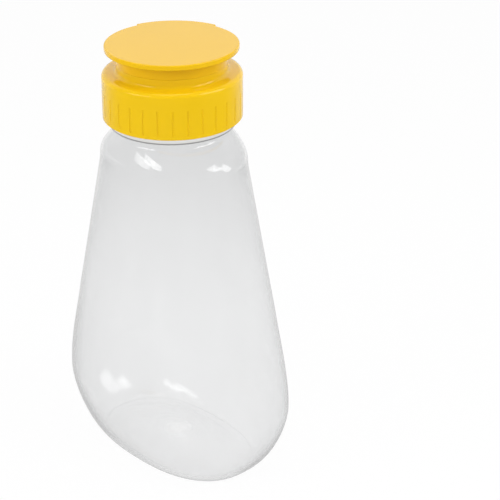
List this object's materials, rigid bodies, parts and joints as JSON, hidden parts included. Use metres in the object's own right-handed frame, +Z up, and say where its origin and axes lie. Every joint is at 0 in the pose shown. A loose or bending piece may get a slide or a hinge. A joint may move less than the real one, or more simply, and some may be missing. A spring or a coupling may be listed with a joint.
{
  "type": "honey dispenser",
  "caption": "Clear squeeze bottle with an oval belly and round shoulders, closed by a fluted screw cap with a wide flat flip-up disc lid over a valved spout",
  "frame": {"origin": "on the floor, under the middle of the bottle and on the axis of its neck and cap", "axes": "+Z is up through the neck. X runs along the bottle's broad side and Y through its thickness. The lid's hinge lies at 133 degrees from +X towards +Y"},
  "size_m": [0.0922, 0.0574, 0.155],
  "materials": {
    "clear_pet": "clear blown PET, polished",
    "yellow_pp": "glossy yellow polypropylene",
    "silicone": "soft translucent silicone",
    "white_pp": "natural white polypropylene",
    "foam": "closed-cell polyethylene foam"
  },
  "bodies": {
    "bottle": {"bottle": "clear_pet"},
    "liner": {"sealing_liner": "foam"},
    "retainer": {"valve_retainer": "white_pp"},
    "cap": {"cap_base": "yellow_pp", "slit_valve": "silicone", "living_hinge": "yellow_pp"},
    "lid": {"lid": "yellow_pp"}
  },
  "joints": [
    {"name": "cap_lift", "type": "slide", "parent": "bottle", "child": "liner", "axis": [0, 0, 1], "range_m": [0, 0.03]},
    {"name": "cap_rise", "type": "slide", "parent": "liner", "child": "retainer", "axis": [0, 0, 1], "range_m": [0, 0.0053]},
    {"name": "cap_turn", "type": "hinge", "parent": "retainer", "child": "cap", "pos_m": [0, 0, 0.1296], "axis": [0, 0, 1], "range_deg": [0, 450]},
    {"name": "lid_hinge", "type": "hinge", "parent": "cap", "child": "lid", "pos_m": [-0.01514, 0.01624, 0.14873], "axis": [-0.7314, -0.682, 0], "range_deg": [0, 135], "deforming": ["living_hinge"]}
  ],
  "couplings": [
    {"joint": "cap_rise", "follows": "cap_turn", "m_per_rad": 0.00067375}
  ]
}
